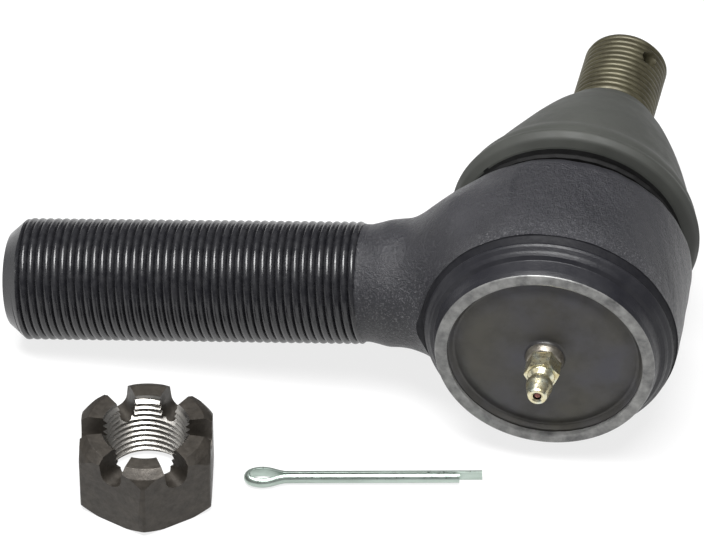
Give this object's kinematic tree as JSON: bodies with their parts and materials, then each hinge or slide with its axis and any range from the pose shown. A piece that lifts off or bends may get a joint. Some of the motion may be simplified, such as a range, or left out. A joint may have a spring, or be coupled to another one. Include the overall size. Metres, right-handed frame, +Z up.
{
  "type": "tie rod end",
  "caption": "Heavy steering tie rod end: forged socket on a threaded shank, tapered ball stud under a rubber boot, with its castle nut and cotter pin beside it.",
  "frame": {"origin": "on the table, under the middle of the bounding box of the tie rod end with its nut and pin", "axes": "-X along the shank towards its threaded end, +Y along the socket bore towards the stud (it dips 2 degrees), +Z up from the table"},
  "size_m": [0.1784, 0.1622, 0.0667],
  "materials": {
    "housing_paint": "satin black coating over forged steel, finely specked",
    "cover_steel": "dark satin pressed steel",
    "stud_steel": "oiled phosphate with a brown-olive tint",
    "bearing_polymer": "matte moulded bearing polymer",
    "spring_steel": "drawn spring wire",
    "fitting_zinc": "yellow zinc plate, worn",
    "check_ball_steel": "small steel ball with dried grease",
    "boot_rubber": "matte moulded rubber",
    "nut_steel": "dark brown-grey heat-treated steel, bright cut thread",
    "pin_zinc": "zinc-plated half-round wire"
  },
  "bodies": {
    "housing": {"tie_rod_housing": "housing_paint", "upper_bearing": "bearing_polymer", "preload_spring": "spring_steel", "cover_plate": "cover_steel", "grease_fitting": "fitting_zinc", "grease_check_spring": "spring_steel", "boot_retaining_ring": "spring_steel"},
    "seat": {"lower_bearing": "bearing_polymer"},
    "boot": {"dust_boot": "boot_rubber"},
    "stud": {"ball_stud": "stud_steel"},
    "check_ball": {"grease_check_ball": "check_ball_steel"},
    "nut": {"castle_nut": "nut_steel"},
    "pin": {"cotter_pin": "pin_zinc"}
  },
  "joints": [
    {"name": "seat_turn", "type": "hinge", "parent": "housing", "child": "seat", "pos_m": [0.05559, -0.00741, 0.03321], "axis": [0, 0.9994, -0.0349], "continuous": true},
    {"name": "stud_tilt", "type": "hinge", "parent": "seat", "child": "boot", "pos_m": [0.05559, -0.00741, 0.03321], "axis": [0.5759, -0.0285, -0.817], "range_deg": [-30, 18], "deforming": ["dust_boot"]},
    {"name": "stud_spin", "type": "hinge", "parent": "boot", "child": "stud", "pos_m": [0.05559, -0.00741, 0.03321], "axis": [0.0741, 0.9971, 0.0174], "continuous": true},
    {"name": "check_ball_press", "type": "slide", "parent": "housing", "child": "check_ball", "axis": [0, 0.9994, -0.0349], "range_m": [0, 0.001], "stiffness_N_per_m": 400, "deforming": ["grease_check_spring"]},
    {"name": "nut_lift", "type": "slide", "parent": "housing", "child": "nut", "axis": [0, 0, 1], "range_m": [0, 0.1]},
    {"name": "pin_lift", "type": "slide", "parent": "housing", "child": "pin", "axis": [0, 0, 1], "range_m": [0, 0.1]}
  ]
}
